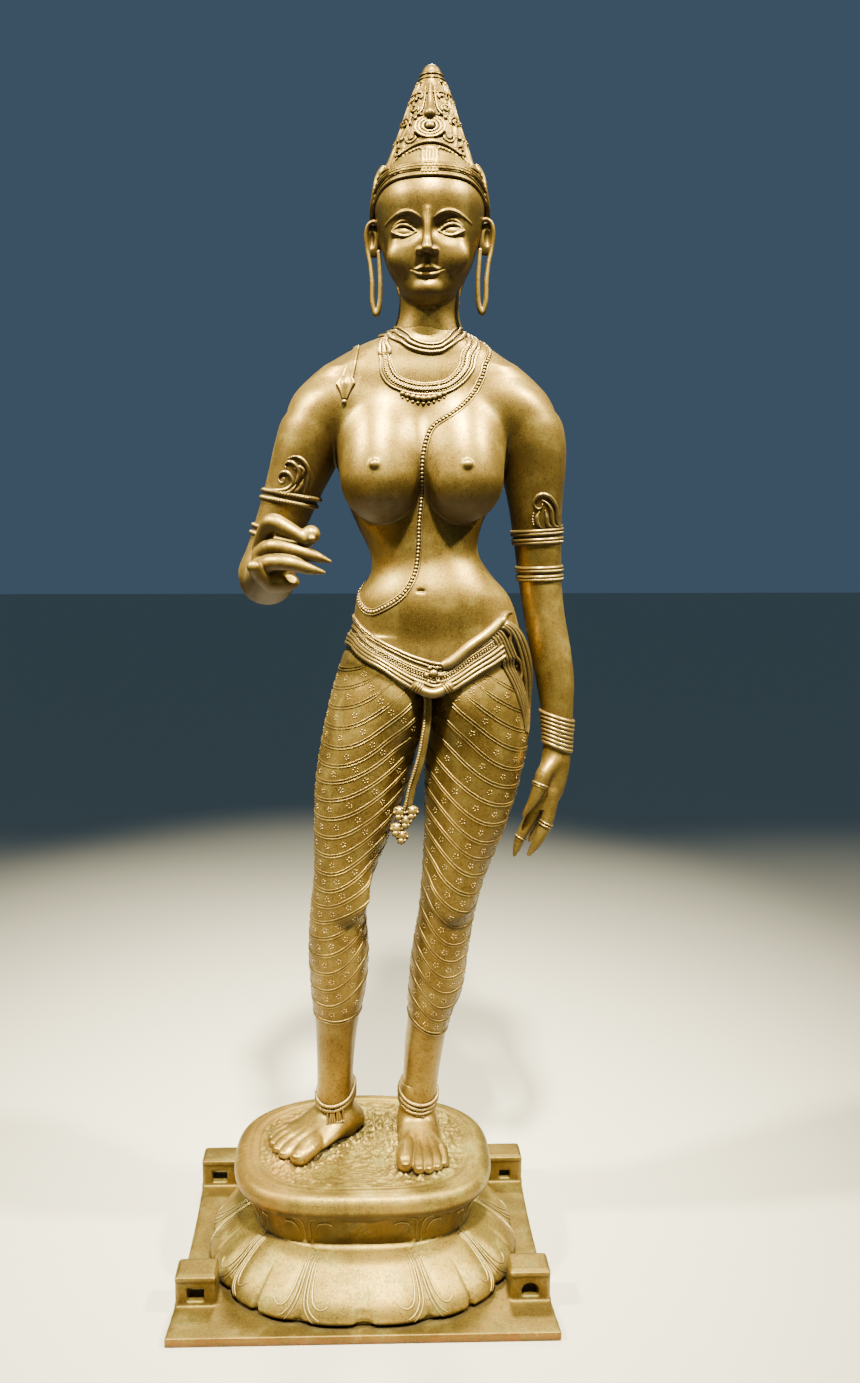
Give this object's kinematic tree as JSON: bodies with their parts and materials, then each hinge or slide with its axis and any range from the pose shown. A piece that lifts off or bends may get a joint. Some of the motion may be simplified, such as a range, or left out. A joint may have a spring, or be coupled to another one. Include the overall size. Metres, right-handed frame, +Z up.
{
  "type": "parvati figure",
  "caption": "Cast bronze goddess standing on a double-lotus pedestal, with a rectangular base plate and pierced carrying lugs at its corners.",
  "frame": {"origin": "centre of the base plate's underside", "axes": "+Z up from the plate to the crown, +X towards the viewer's right, and the figure faces -Y"},
  "size_m": [0.361, 0.257, 1.0736],
  "materials": {
    "golden_bronze": "worn satin bronze, golden olive on the rubbed forms and dark brown in the recesses",
    "greened_bronze": "matt bronze with a greenish patina and grey dust, coppery on the worn front edge"
  },
  "bodies": {
    "root": {"base_plate": "greened_bronze", "lotus_pedestal": "greened_bronze", "goddess_figure": "golden_bronze"}
  },
  "joints": []
}
